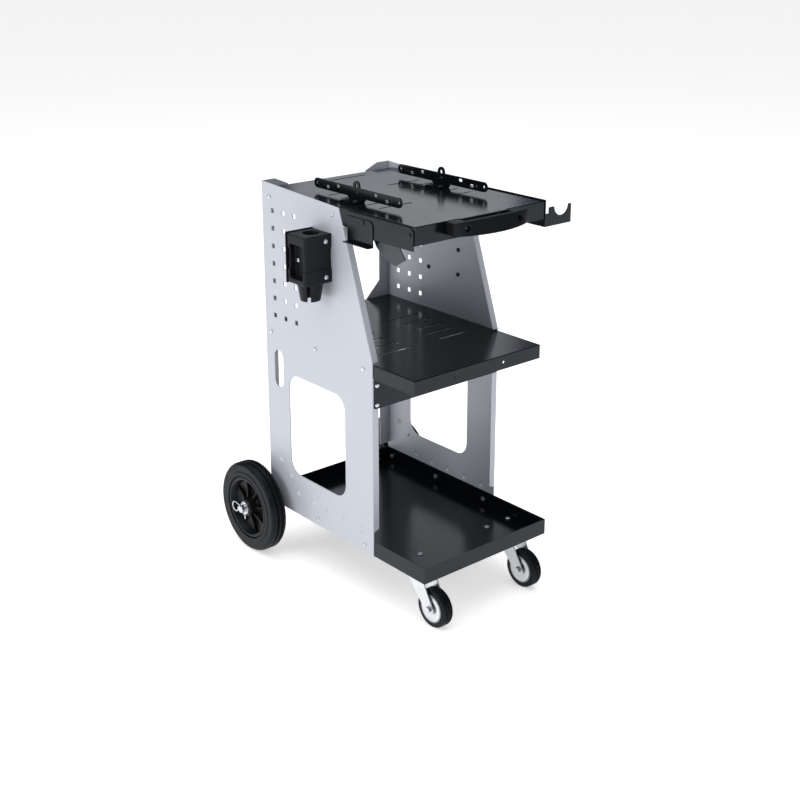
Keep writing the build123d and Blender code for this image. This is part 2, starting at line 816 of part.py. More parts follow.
with BuildPart() as holder:
    with BuildSketch(Plane.XY.offset(z_at(holder_low))):
        with Locations((holder_x, holder_y)):
            Rectangle(holder_reach, holder_length)
    extrude(amount=holder_high - holder_low)
    fillet(holder.edges().filter_by(Axis.Z).group_by(Axis.X)[0], 5.0)
    # Raised bands round the top and the foot
    for band_height in (holder_low, holder_high - holder_band):
        with BuildSketch(Plane.XY.offset(z_at(band_height))) as band:
            with Locations((holder_x - holder_band_step / 2, holder_y)):
                Rectangle(holder_reach + holder_band_step, holder_length + 2 * holder_band_step)
            fillet(band.vertices().group_by(Axis.X)[0], 6.0)
        extrude(amount=holder_band)
    # Funnel below
    with BuildSketch(Plane.XY.offset(z_at(holder_low))):
        with Locations((holder_x, holder_y)):
            Circle(funnel_top)
    with BuildSketch(Plane.XY.offset(z_at(holder_low - funnel_drop))):
        with Locations((holder_x, holder_y)):
            Circle(funnel_tip)
    loft()
    # Pocket in the outer face
    with BuildSketch(across(-half_width - holder_reach - holder_band_step)):
        with Locations((holder_y, z_at(holder_low + 10.0 + pocket_height / 2))):
            RectangleRounded(holder_length - 14.0, pocket_height, 3.0)
    extrude(amount=pocket_depth + holder_band_step, mode=Mode.SUBTRACT)
    # Tapered way through for the torch neck, open at the side of the funnel
    with BuildSketch(Plane.XY.offset(z_at(holder_high))):
        with Locations((holder_x + 4.0, holder_y)):
            Circle(holder_mouth)
    with BuildSketch(Plane.XY.offset(z_at(holder_low - funnel_drop))):
        with Locations((holder_x, holder_y)):
            Circle(holder_throat)
    loft(mode=Mode.SUBTRACT)
    with BuildSketch(Plane.XY.offset(z_at(holder_low - funnel_drop))):
        with Locations(Location((holder_x - 12.0, holder_y - 12.0), 45)):
            Rectangle(34.0, 7.0)
    extrude(amount=funnel_drop - 4.0, mode=Mode.SUBTRACT)
    # Screw holes: lugs on the front, one in the pocket, two from the panel
    with BuildSketch(facing(holder_y - holder_length / 2 - holder_band_step)):
        with Locations(*[(-half_width - lug_inset, z_at(height)) for height in lug_heights]):
            Circle(lug_screw_radius + 0.05)
    extrude(amount=-14.0, mode=Mode.SUBTRACT)
    with BuildSketch(across(-half_width - holder_reach + pocket_depth)):
        with Locations(pocket_screw):
            Circle(lug_screw_radius + 0.05)
    extrude(amount=12.0, mode=Mode.SUBTRACT)
    with BuildSketch(across(-half_width)):
        with Locations(*[(y_at(depth), z_at(height)) for depth, height in holder_bolts]):
            Circle(lug_screw_radius + 0.05)
    extrude(amount=-9.0, mode=Mode.SUBTRACT)
save(holder.part, "torch_holder")

with BuildPart() as holder_plate:
    with BuildSketch(facing(holder_y + holder_length / 2 + holder_band_step)):
        with Locations((holder_x - 1.5, z_at((holder_low + holder_high) / 2))):
            Rectangle(holder_reach + 3.0, holder_high - holder_low + 4.0)
    extrude(amount=-2.5)
save(holder_plate.part, "torch_holder_plate")

lug_places = [(-half_width - lug_inset, z_at(height)) for height in lug_heights]
lug_face = facing(holder_y - holder_length / 2 - holder_band_step)
pocket_face = outside(-1).offset(holder_reach - pocket_depth)
inner_face = across(-inner_half)
pocket_place = (-pocket_screw[0], pocket_screw[1])
bolt_places = [(y_at(depth), z_at(height)) for depth, height in holder_bolts]
holder_fasteners = pan_screws(lug_face, lug_places, 4.0, lug_screw_radius, nut=False)
holder_fasteners += pan_screws(pocket_face, [pocket_place], 3.0, lug_screw_radius, nut=False)
holder_fasteners += pan_screws(inner_face, bolt_places, 0.0, lug_screw_radius, nut=False)
save_group(holder_fasteners, "torch_holder_screws")

# Rear axle, its brackets and what holds the wheels on --------------------------------------

axle_radius = axle_diameter / 2
axle_line = Axis((0, axle_y, axle_z), (1, 0, 0))
axle_section = Plane(origin=(0, axle_y, axle_z), x_dir=(1, 0, 0), z_dir=(0, -1, 0))


def axle_plane(x):
    """A plane across the rear axle, centred on it, with local x along +Y."""
    return Plane(origin=(x, axle_y, axle_z), x_dir=(0, 1, 0), z_dir=(1, 0, 0))


def axle_bracket(side):
    """An angle bolted to the tray's rear wall, with a bore that holds the axle."""
    top_z = z_at(tray_wall)
    low_z = axle_z - axle_diameter - 4.0
    back_y = axle_y + axle_diameter + 4.0
    with BuildPart() as bracket:
        with BuildSketch(across(side * bracket_x)):
            with BuildLine():
                Polyline(
                    (rear_y, top_z),
                    (rear_y, low_z),
                    (back_y, low_z),
                    (back_y, axle_z + axle_diameter),
                    (rear_y + bracket_sheet + 6.0, top_z),
                    close=True,
                )
            make_face()
            with Locations((axle_y, axle_z)):
                Circle(axle_radius, mode=Mode.SUBTRACT)
        extrude(amount=side * bracket_sheet)
        with BuildSketch(facing(rear_y)):
            with Locations((side * (bracket_x - bracket_flange / 2), (z_at(0) + top_z) / 2)):
                Rectangle(bracket_flange, tray_wall)
            with Locations(*[(side * bracket_bolt_x, z_at(height)) for height in bracket_bolt_heights]):
                Circle(screw_hole_radius, mode=Mode.SUBTRACT)
        extrude(amount=-bracket_sheet)
    return bracket.part


def tube_along_axle(places, length, outer_radius, inner_radius):
    """Rings on the rear axle that start at the given X places."""
    rings = []
    for x in places:
        with BuildPart() as ring:
            with BuildSketch(axle_plane(x)):
                Circle(outer_radius)
                Circle(inner_radius, mode=Mode.SUBTRACT)
            extrude(amount=length)
        rings += ring.part.solids()
    return rings


save(axle_bracket(-1), "left_axle_bracket")
save(axle_bracket(1), "right_axle_bracket")
bracket_places = []
for side in (-1, 1):
    bracket_places += [(side * bracket_bolt_x, z_at(height)) for height in bracket_bolt_heights]
inner_wall = facing(rear_y - sheet)
save_group(pan_screws(inner_wall, bracket_places, sheet + bracket_sheet), "axle_bracket_bolts")

with BuildPart() as axle:
    with BuildSketch(axle_plane(-axle_reach)):
        Circle(axle_radius)
    extrude(amount=2 * axle_reach)
    chamfer(axle.edges().filter_by(GeomType.CIRCLE), 1.0)
    with BuildSketch(Plane.XY.offset(axle_z - axle_radius)):
        with Locations((-clip_x, axle_y), (clip_x, axle_y)):
            Circle(clip_wire_radius + 0.2)
    extrude(amount=axle_diameter, mode=Mode.SUBTRACT)
save(axle.part, "rear_axle")

spacer_start = bracket_x + bracket_sheet
inner_washer = hub_inner_x - face_gap - washer_thickness
spacer_length = inner_washer - spacer_start
spacer_places = (spacer_start, -inner_washer)
save_group(tube_along_axle(spacer_places, spacer_length, axle_radius + 3.0, axle_radius), "axle_spacers")
outer_washer = hub_outer_x + face_gap
washer_places = []
for start in (inner_washer, outer_washer):
    washer_places += [start, -start - washer_thickness]
save_group(tube_along_axle(washer_places, washer_thickness, washer_radius, axle_radius), "axle_washers")


def spring_clip(side):
    """A bent wire clip: one straight leg through the axle, one hugging it."""
    hug = axle_radius + clip_wire_radius + 0.4
    with BuildPart() as clip:
        with BuildLine(axle_plane(side * clip_x)) as path:
            FilletPolyline(
                (0, -axle_radius - 8.0),
                (0, axle_radius + 9.0),
                (hug + 4.0, axle_radius + 9.0),
                (hug, axle_radius - 1.0),
                (hug, -axle_radius + 1.0),
                (hug + 5.0, -axle_radius - 6.0),
                radius=3.0,
            )
        with BuildSketch(Plane(origin=path.line @ 0, z_dir=path.line % 0)):
            Circle(clip_wire_radius)
        sweep()
    return clip.part


save(spring_clip(-1), "left_spring_clip")
save(spring_clip(1), "right_spring_clip")

# Rear wheels -------------------------------------------------------------------------------


def ring_about(section, axis, outer_radius, inner_radius, middle_x, width, shoulder=0.0):
    """A turned ring; the shoulder rounds its two outer corners."""
    with BuildPart() as ring:
        with BuildSketch(section) as profile:
            with Locations((middle_x, (outer_radius + inner_radius) / 2)):
                Rectangle(width, outer_radius - inner_radius)
            if shoulder:
                fillet(profile.vertices().group_by(Axis.Y)[-1], shoulder)
        revolve(axis=axis)
    return ring.part


rim_radius = rear_rim_diameter / 2
rim_wall = 6.0
hub_radius = 20.0
bush_radius = axle_radius + 3.5
web = 6.0
spokes = 8
wheel_middle = tyre_inner_x + rear_wheel_width / 2
hub_width = hub_outer_x - hub_inner_x


def rim_part(side):
    """The wheel's centre: rim, web, hub and radial ribs."""
    middle_x = side * wheel_middle
    with BuildPart() as rim:
        with BuildSketch(axle_section):
            with Locations((middle_x, rim_radius - rim_wall / 2)):
                Rectangle(rear_wheel_width - 4.0, rim_wall)
            with Locations((middle_x, (rim_radius + bush_radius) / 2)):
                Rectangle(web, rim_radius - bush_radius - 1.0)
            with Locations((middle_x, (hub_radius + bush_radius) / 2)):
                Rectangle(hub_width, hub_radius - bush_radius)
        revolve(axis=axle_line)
        rib_width = rear_wheel_width - 10.0
        rib_middle = (rim_radius - rim_wall + hub_radius) / 2
        with BuildSketch(axle_plane(middle_x - rib_width / 2)):
            with PolarLocations(rib_middle, spokes):
                Rectangle(rim_radius - rim_wall - hub_radius + 2.0, 4.0)
        extrude(amount=rib_width)
    return rim.part


for side, name in ((-1, "left"), (1, "right")):
    middle_x = side * wheel_middle
    tyre_radius = rear_wheel_diameter / 2
    tyre = ring_about(axle_section, axle_line, tyre_radius, rim_radius, middle_x, rear_wheel_width, 10.0)
    save(tyre, f"{name}_wheel_tyre")
    save(rim_part(side), f"{name}_wheel_rim")
    bush = ring_about(axle_section, axle_line, bush_radius, axle_radius + running_fit, middle_x, hub_width)
    save(bush, f"{name}_wheel_bush")

# Castors -----------------------------------------------------------------------------------

plate_z = z_at(-castor_plate)
race_low = plate_z - race_height
crown_low = race_low - crown_sheet
castor_radius = castor_wheel_diameter / 2
castor_y = y_at(castor_axle_depth)
swivel_y = y_at(swivel_depth)
leg_sheet = 2.5
boss_radius = 12.0
disc_thickness = 1.0
disc_radius = 26.0
core_radius = 29.0
pin_head = 5.0


def castor_plane(x):
    """A plane across a castor wheel's axle, centred on it, with local x along +Y."""
    return Plane(origin=(x, castor_y, castor_radius), x_dir=(0, 1, 0), z_dir=(1, 0, 0))


def castor_top_plate(x):
    """The fixed plate with its pressed upper race."""
    with BuildPart() as plate:
        with BuildSketch(Plane.XY.offset(plate_z)):
            with Locations((x, swivel_y)):
                RectangleRounded(castor_plate_x, castor_plate_y, 8.0)
                with GridLocations(castor_bolts_x, castor_bolts_y, 2, 2):
                    Circle(screw_hole_radius, mode=Mode.SUBTRACT)
        extrude(amount=castor_plate)
        with BuildSketch(Plane.XY.offset(plate_z)):
            with Locations((x, swivel_y)):
                Circle(race_radius + 2.0)
        with BuildSketch(Plane.XY.offset(plate_z - race_height / 2 + 0.2)):
            with Locations((x, swivel_y)):
                Circle(race_radius)
        loft()
        with BuildSketch(Plane.XY.offset(plate_z + castor_plate)):
            with Locations((x, swivel_y)):
                Circle(king_pin_radius)
        extrude(amount=-castor_plate - race_height, mode=Mode.SUBTRACT)
    return plate.part


def castor_king_pin(x):
    """The rivet that carries the fork: a shank from the plate and a head under the crown."""
    head_top = crown_low - face_gap
    with BuildPart() as pin:
        with BuildSketch(Plane.XY.offset(head_top)):
            with Locations((x, swivel_y)):
                Circle(king_pin_radius)
        extrude(amount=plate_z + castor_plate - head_top)
        with BuildSketch(Plane.XY.offset(head_top)):
            with Locations((x, swivel_y)):
                Circle(king_pin_radius + 4.0)
        extrude(amount=-pin_head)
        fillet(pin.edges().filter_by(GeomType.CIRCLE).group_by(Axis.Z)[0], 2.0)
    return pin.part


def castor_fork(x):
    """Crown, two trailing legs and the lower race, turning on the king pin."""
    with BuildPart() as fork:
        with BuildSketch(Plane.XY.offset(crown_low)):
            with Locations((x, swivel_y)):
                Rectangle(fork_gap + 2 * leg_sheet, 2 * race_radius - 4.0)
        extrude(amount=crown_sheet)
        with BuildSketch(Plane.XY.offset(race_low)):
            with Locations((x, swivel_y)):
                Circle(race_radius)
        extrude(amount=race_height / 2 - 0.2)
        for leg in (-1, 1):
            leg_x = x + leg * fork_gap / 2
            with BuildSketch(castor_plane(leg_x)):
                Circle(boss_radius)
                with Locations((castor_trail, crown_low - castor_radius)):
                    Rectangle(2 * race_radius - 4.0, 2 * crown_sheet)
                make_hull()
                Circle(castor_axle_radius, mode=Mode.SUBTRACT)
            extrude(amount=leg * leg_sheet)
        with BuildSketch(Plane.XY.offset(crown_low - crown_sheet)):
            with Locations((x, swivel_y)):
                Circle(king_pin_radius + running_fit)
        extrude(amount=crown_sheet * 3 + race_height, mode=Mode.SUBTRACT)
    return fork.part


def castor_axle_bolt(x):
    """Axle bolt with a head and a nut outside the fork's legs."""
    half = fork_gap / 2 + leg_sheet
    with BuildPart() as bolt:
        with BuildSketch(castor_plane(x - half)):
            Circle(castor_axle_radius)
        extrude(amount=2 * half)
        with BuildSketch(castor_plane(x - half)):
            RegularPolygon(7.0, 6)
        extrude(amount=-5.0)
        with BuildSketch(castor_plane(x + half)):
            RegularPolygon(7.0, 6)
        extrude(amount=6.0)
    return bolt.part


for side, name in ((-1, "left"), (1, "right")):
    x = side * castor_x
    castor_axis = Axis((0, castor_y, castor_radius), (1, 0, 0))
    section = Plane(origin=(0, castor_y, castor_radius), x_dir=(1, 0, 0), z_dir=(0, -1, 0))
    save(castor_top_plate(x), f"{name}_castor_plate")
    save(castor_king_pin(x), f"{name}_castor_king_pin")
    save(castor_fork(x), f"{name}_castor_fork")
    save(castor_axle_bolt(x), f"{name}_castor_axle_bolt")
    tyre = ring_about(section, castor_axis, castor_radius, core_radius, x, castor_wheel_width, 5.0)
    save(tyre, f"{name}_castor_tyre")
    core_bore = castor_axle_radius + running_fit
    core = ring_about(section, castor_axis, core_radius, core_bore, x, castor_wheel_width)
    save(core, f"{name}_castor_wheel_core")
    discs = []
    for face in (-1, 1):
        disc_x = x + face * (castor_wheel_width + disc_thickness) / 2
        disc = ring_about(section, castor_axis, disc_radius, core_bore, disc_x, disc_thickness)
        discs += disc.solids()
    save_group(discs, f"{name}_castor_discs")
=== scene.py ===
# %% [markdown]
# # A welding trolley
# The trolley is bent sheet metal on two large wheels and two castors. Its side panels are silver powder
# coat, its shelves and tray are glossy black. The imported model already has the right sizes, so this
# lesson adds what an engineering model leaves out: rounded folds, screw recesses, tyre grooves, and
# finishes with grain in them.

import json
from math import cos, pi, radians, sin, tau

import bmesh
import bpy
import numpy as np
from mathutils import Matrix, Vector


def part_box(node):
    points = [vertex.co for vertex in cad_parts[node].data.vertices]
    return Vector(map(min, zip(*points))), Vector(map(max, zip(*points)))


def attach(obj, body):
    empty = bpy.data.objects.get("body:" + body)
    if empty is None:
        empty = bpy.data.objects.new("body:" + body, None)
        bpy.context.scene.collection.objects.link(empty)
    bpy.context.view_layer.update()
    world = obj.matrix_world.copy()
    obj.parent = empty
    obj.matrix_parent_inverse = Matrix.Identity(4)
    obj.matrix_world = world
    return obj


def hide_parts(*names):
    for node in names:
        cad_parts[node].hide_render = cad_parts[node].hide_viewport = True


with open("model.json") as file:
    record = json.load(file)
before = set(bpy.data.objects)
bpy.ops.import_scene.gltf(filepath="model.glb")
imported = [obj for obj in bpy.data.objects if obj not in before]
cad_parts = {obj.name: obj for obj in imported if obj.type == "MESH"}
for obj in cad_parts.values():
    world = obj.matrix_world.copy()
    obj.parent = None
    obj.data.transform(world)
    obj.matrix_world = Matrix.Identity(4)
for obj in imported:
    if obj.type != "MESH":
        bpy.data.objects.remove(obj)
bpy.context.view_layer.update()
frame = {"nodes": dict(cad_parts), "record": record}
nodes = frame["nodes"]
scene = bpy.context.scene
MM = 0.001

# %% [markdown]
# ## Finding places
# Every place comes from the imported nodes. A node's box gives its middle and its two ends, and the body
# that it rides on is listed in the record, so a new piece can follow its node without any fitting.

# %% Helpers for places
body_of_node = {}
for body, members in frame["record"]["behaviour"]["bodies"].items():
    for member in members:
        body_of_node[member] = body

slot_of_node = {entry["node"]: entry["material_slot"] for entry in frame["record"]["subparts"]}


def middle(node):
    """The middle of a node's box."""
    low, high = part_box(node)
    return (Vector(low) + Vector(high)) / 2


def take_over(piece, node):
    """A finished piece stands for one node: it rides on its body, and the node is hidden."""
    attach(piece, body_of_node[node])
    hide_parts(node)


# %% [markdown]
# ## Shader sums
# A finish is mostly arithmetic on noise. Wrapping a socket in a small class lets that arithmetic be
# written as ordinary expressions, so `0.3 + 0.1 * grain` builds its own Math nodes.


# %% A socket that can be used in expressions
class Wire:
    """One output of a shader tree."""

    def __init__(self, tree, socket=None):
        self.tree = tree
        self.socket = socket

    def node(self, kind, settings=None, inputs=None, output=0):
        """Adds a node: its settings first, then the values or links of its sockets."""
        made = self.tree.nodes.new(kind)
        for name, value in (settings or {}).items():
            setattr(made, name, value)
        for name, value in (inputs or {}).items():
            if isinstance(value, Wire):
                self.tree.links.new(value.socket, made.inputs[name])
            else:
                made.inputs[name].default_value = value
        return Wire(self.tree, made.outputs[output])

    def math(self, operation, first, second):
        return self.node("ShaderNodeMath", {"operation": operation}, {0: first, 1: second})

    def __add__(self, other):
        return self.math("ADD", self, other)

    def __mul__(self, other):
        return self.math("MULTIPLY", self, other)

    __radd__ = __add__
    __rmul__ = __mul__

    def noise(self, scale, detail=2.0, roughness=0.5):
        """Soft noise on this vector; the scale is in cells for each metre."""
        sizes = {"Vector": self, "Scale": scale, "Detail": detail, "Roughness": roughness}
        return self.node("ShaderNodeTexNoise", None, sizes)

    def stretched(self, x, y, z):
        """This vector multiplied along each axis."""
        return self.node("ShaderNodeVectorMath", {"operation": "MULTIPLY"}, {0: self, 1: (x, y, z)})

    def between(self, low, high):
        """0 below low and 1 above high, smooth in the middle."""
        ends = {"Value": self, "From Min": low, "From Max": high}
        return self.node("ShaderNodeMapRange", {"interpolation_type": "SMOOTHSTEP"}, ends)

    def mix(self, first, second):
        """A colour from the first to the second as this value goes from 0 to 1."""
        colours = {"Factor": self, "A": first, "B": second}
        return self.node("ShaderNodeMix", {"data_type": "RGBA"}, colours, output=2)

    def bump(self, strength, distance):
        """A normal from this height."""
        return self.node("ShaderNodeBump", None, {"Height": self, "Strength": strength, "Distance": distance})


# %% [markdown]
# ## A finish
# Each material fixes the numbers that are the same all over its surface on the shader itself. Only what
# changes from place to place is linked: the colour, the roughness and the bump.


# %% Start a material
def finish(name, constants, paint):
    """A material: constants go on the shader, and paint(place) returns what varies over the surface."""
    material = bpy.data.materials.new(name)
    material.use_nodes = True
    tree = material.node_tree
    shader = tree.nodes["Principled BSDF"]
    for socket, value in constants.items():
        shader.inputs[socket].default_value = value
    place = Wire(tree).node("ShaderNodeTexCoord", output="Object")
    for socket, wire in paint(place).items():
        tree.links.new(wire.socket, shader.inputs[socket])
    print("finish", name, len(tree.nodes), "nodes")
    return material


def grey(level, blue=1.0):
    """A nearly neutral colour."""
    return (level, level, level * blue, 1.0)


# %% [markdown]
# ## Powder coat
# Powder coat is sprayed dry and melted, so it levels out into a faint orange peel. The silver coat on the
# panels is satin, with a slightly uneven film. The black coat is glossy, and its peel breaks reflections
# up softly.


# %% Silver and black powder coat
def silver_coat(place):
    """Satin silver with fine bright flecks."""
    film = place.noise(7.0, 3.0)
    peel = place.noise(650.0, 2.0)
    fleck = place.noise(2600.0, 1.0).between(0.62, 0.72)
    tone = film.mix((0.43, 0.455, 0.51, 1.0), (0.48, 0.50, 0.55, 1.0))
    return {
        "Base Color": (0.25 * fleck).mix(tone, (0.60, 0.62, 0.66, 1.0)),
        "Roughness": 0.38 + 0.10 * film + 0.06 * peel,
        "Normal": (peel + 0.3 * fleck).bump(0.12, 0.0004),
    }


def black_coat(place):
    """Glossy black with a soft peel and a little dust."""
    film = place.noise(9.0, 4.0, 0.6)
    peel = place.noise(420.0, 2.0)
    dust = place.noise(60.0, 6.0, 0.7).between(0.55, 0.8)
    return {
        "Base Color": (0.5 * dust).mix((0.0030, 0.0036, 0.0048, 1.0), (0.010, 0.012, 0.015, 1.0)),
        "Roughness": 0.14 + 0.08 * film + 0.08 * dust,
        "Normal": peel.bump(0.10, 0.0006),
    }


silver_paint = finish("silver_powder_coat", {"Metallic": 0.25, "Specular IOR Level": 0.5}, silver_coat)
gloss_black = {"Specular IOR Level": 0.32, "Specular Tint": (0.75, 0.88, 1.0, 1.0)}
black_paint = finish("black_powder_coat", gloss_black, black_coat)

# %% [markdown]
# ## Bright metal
# Zinc plate is cloudy where the bath left it uneven, and pressed parts show fine drawing lines. The axle
# was turned, so its lines run round it and its noise is stretched thin along its length.


# %% Zinc plate and turned steel
def zinc_plate(place):
    """Cloudy zinc with faint drawing lines."""
    cloud = place.noise(55.0, 4.0, 0.6)
    drawn = place.stretched(40.0, 40.0, 900.0).noise(3.0, 3.0)
    return {
        "Base Color": cloud.mix((0.58, 0.60, 0.63, 1.0), (0.80, 0.81, 0.82, 1.0)),
        "Roughness": 0.20 + 0.18 * cloud + 0.06 * drawn,
        "Normal": (drawn + cloud).bump(0.06, 0.0003),
    }


def turned_steel(place):
    """Steel with fine lines round it."""
    cloud = place.noise(80.0, 3.0)
    lines = place.stretched(2400.0, 20.0, 20.0).noise(1.0, 2.0)
    return {
        "Base Color": cloud.mix((0.50, 0.51, 0.53, 1.0), (0.70, 0.71, 0.72, 1.0)),
        "Roughness": 0.22 + 0.16 * lines,
        "Normal": lines.bump(0.08, 0.0002),
    }


def black_plate(place):
    """Blackened steel."""
    cloud = place.noise(120.0, 3.0)
    return {"Base Color": cloud.mix(grey(0.02), grey(0.05)), "Roughness": 0.30 + 0.15 * cloud}


black_steel = finish("black_plated_steel", {"Metallic": 0.7}, black_plate)
zinc = finish("zinc_plate", {"Metallic": 1.0}, zinc_plate)
steel = finish("turned_steel", {"Metallic": 1.0}, turned_steel)

# %% [markdown]
# ## Plastic and rubber
# Moulded plastic takes a fine spark texture from its tool, and handling polishes it unevenly. Tyre rubber
# is duller, with a pale bloom that gathers in patches.


# %% Moulded plastic and tyre rubber
def moulded(dark, light, base_roughness):
    """Textured plastic between two greys."""

    def paint(place):
        spark = place.noise(1900.0, 2.0)
        polish = place.noise(28.0, 3.0)
        return {
            "Base Color": polish.mix(dark, light),
            "Roughness": base_roughness + 0.12 * polish + 0.05 * spark,
            "Normal": spark.bump(0.18, 0.0003),
        }

    return paint


def tyre_rubber(place):
    """Dull rubber with a patchy bloom."""
    bloom = place.noise(30.0, 5.0, 0.65).between(0.42, 0.75)
    grain = place.noise(1400.0, 3.0)
    return {
        "Base Color": (0.7 * bloom).mix((0.003, 0.0034, 0.0045, 1.0), (0.010, 0.011, 0.014, 1.0)),
        "Roughness": 0.36 + 0.16 * bloom + 0.08 * grain,
        "Normal": grain.bump(0.15, 0.0003),
    }


dull = {"Specular IOR Level": 0.17, "Specular Tint": (0.8, 0.9, 1.0, 1.0)}
handle_plastic = finish("handle_plastic", dull, moulded(grey(0.005, 1.25), grey(0.010, 1.3), 0.34))
rim_plastic = finish("rim_plastic", dull, moulded(grey(0.003), grey(0.007, 1.1), 0.26))
core_plastic = finish("core_plastic", {}, moulded(grey(0.20), grey(0.26), 0.45))
rubber = finish("tyre_rubber", dull, tyre_rubber)

material_of_slot = {
    "panel_silver": silver_paint,
    "black_gloss": black_paint,
    "zinc": zinc,
    "axle_steel": steel,
    "black_screw": black_steel,
    "black_plastic": handle_plastic,
    "rim_plastic": rim_plastic,
    "core_plastic": core_plastic,
    "rubber_tyre": rubber,
}
for name, node in nodes.items():
    node.data.materials.clear()
    node.data.materials.append(material_of_slot[slot_of_node[name]])

# %% [markdown]
# ## Mesh helpers
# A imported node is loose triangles. Welding them and dissolving the flat ones gives whole faces again, and
# then its sharp edges can be rounded the way paint and bending round them on the real sheet.

# %% Make and finish meshes
WELD = 1e-6
FLAT = radians(0.6)
sharp_angle = 35.0
dimple_rim_angle = 24.0


def piece_from(work, name, material, smooth_angle=sharp_angle):
    """Closes a bmesh into an object with one material, smooth except at its sharp edges."""
    mesh = bpy.data.meshes.new(name)
    for face in work.faces:
        face.smooth = True
    for edge in work.edges:
        edge.smooth = edge.calc_face_angle(0.0) < radians(smooth_angle)
    work.to_mesh(mesh)
    work.free()
    mesh.materials.append(material)
    piece = bpy.data.objects.new(name, mesh)
    scene.collection.objects.link(piece)
    return piece


def welded(node):
    """A copy of a node's mesh with its doubles merged."""
    work = bmesh.new()
    work.from_mesh(nodes[node].data)
    bmesh.ops.remove_doubles(work, verts=work.verts, dist=WELD)
    return work


def rounded(node, radius, smooth_angle=sharp_angle):
    """A node with its sharp outer edges rounded."""
    work = welded(node)
    bmesh.ops.dissolve_limit(work, angle_limit=FLAT, verts=work.verts, edges=work.edges)
    edges = [
        edge
        for edge in work.edges
        if edge.calc_face_angle(0.0) > radians(sharp_angle) and edge.is_convex
    ]
    bmesh.ops.bevel(
        work,
        geom=edges,
        offset=radius,
        segments=2,
        profile=0.5,
        affect="EDGES",
        clamp_overlap=True,
    )
    bmesh.ops.triangulate(work, faces=[face for face in work.faces if len(face.verts) > 4])
    piece = piece_from(work, f"{node}_finished", material_of_slot[slot_of_node[node]], smooth_angle)
    weights = piece.modifiers.new("even_normals", "WEIGHTED_NORMAL")
    weights.keep_sharp = True
    take_over(piece, node)
    return piece


# %% [markdown]
# ## Sheet metal and mouldings
# The panels, shelves, tray and brackets keep their shape and get softly rounded edges, because a sheared
# edge under powder coat is never knife sharp. The mouldings have larger radii.

# %% Round the edges
# Each piece's edge radius in millimetres
edge_radius = {
    "left_side_panel": 0.5,
    "right_side_panel": 0.5,
    "top_shelf": 0.5,
    "middle_shelf": 0.5,
    "bottom_tray": 0.5,
    "cross_apron": 0.4,
    "right_hook_bracket": 0.4,
    "left_cable_plate": 0.4,
    "left_cable_hook": 0.4,
    "left_rack_bar": 0.4,
    "right_rack_bar": 0.4,
    "torch_holder_plate": 0.6,
    "left_axle_bracket": 0.5,
    "right_axle_bracket": 0.5,
    "left_castor_plate": 0.4,
    "right_castor_plate": 0.4,
    "left_castor_fork": 0.4,
    "right_castor_fork": 0.4,
}
for node, radius in edge_radius.items():
    # The panels' dimples keep a crisp rim
    smooth_angle = dimple_rim_angle if node.endswith("side_panel") else sharp_angle
    piece = rounded(node, radius * MM, smooth_angle)
    print(node, len(piece.data.polygons), "faces")

# %% [markdown]
# ## Mouldings
# The pull handle and the torch holder are moulded plastic, with no sharp edge anywhere. Turning the solid
# into small voxels and smoothing them rounds every edge at once, inside corners too, as a mould does.

# %% Soften the mouldings


def moulded_piece(node, voxel, passes):
    """A node turned into voxels and smoothed."""
    work = welded(node)
    piece = piece_from(work, f"{node}_finished", material_of_slot[slot_of_node[node]], 180.0)
    voxels = piece.modifiers.new("voxels", "REMESH")
    voxels.mode = "VOXEL"
    voxels.voxel_size = voxel
    soften = piece.modifiers.new("soften", "SMOOTH")
    soften.factor = 0.5
    soften.iterations = passes
    mesh = bpy.data.meshes.new_from_object(piece.evaluated_get(bpy.context.evaluated_depsgraph_get()))
    piece.modifiers.clear()
    piece.data = mesh
    for face in mesh.polygons:
        face.use_smooth = True
    take_over(piece, node)
    print(node, len(mesh.polygons), "faces")


moulded_piece("front_handle", 1.1 * MM, 12)
moulded_piece("torch_holder", 1.0 * MM, 5)

# %% [markdown]
# ## Screws
# Every screw has a domed head with a cross recess, and all but the torch holder's have a hexagon nut
# behind the sheet. One head, one shank and one nut are made, and a Geometry Nodes tree sets a copy at
# every place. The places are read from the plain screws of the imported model, so they can't drift from the
# holes.

# %% One head, one shank, one nut
head_radius = 4.6 * MM
head_height = 2.8 * MM
dome_steps = 5
shank_radius = 3.0 * MM
nut_height = 5.0 * MM
nut_across = 10.0 * MM
nut_chamfer = 0.4 * MM
recess_length = 4.8 * MM
recess_width = 1.0 * MM
recess_depth = 3.4 * MM


def lathe(profile, steps, around="Z", origin=(0, 0, 0)):
    """A closed solid turned from (radius, height) points; the height runs along the named axis."""
    work = bmesh.new()
    rings = []
    for radius, height in profile:
        if radius < WELD:
            rings.append([work.verts.new((0, 0, height))] * steps)
        else:
            ring = []
            for step in range(steps):
                angle = tau * step / steps
                ring.append(work.verts.new((radius * cos(angle), radius * sin(angle), height)))
            rings.append(ring)
    pairs = list(zip(rings, rings[1:]))
    if profile[0][0] > WELD:
        pairs.append((rings[-1], rings[0]))
    for low, high in pairs:
        for step in range(steps):
            after = (step + 1) % steps
            corners = []
            for corner in (low[step], low[after], high[after], high[step]):
                if corner not in corners:
                    corners.append(corner)
            if len(corners) > 2:
                work.faces.new(corners)
    bmesh.ops.recalc_face_normals(work, faces=work.faces)
    if around == "X":
        bmesh.ops.rotate(work, verts=work.verts, matrix=Matrix.Rotation(pi / 2, 3, "Y"))
    bmesh.ops.translate(work, verts=work.verts, vec=origin)
    return work


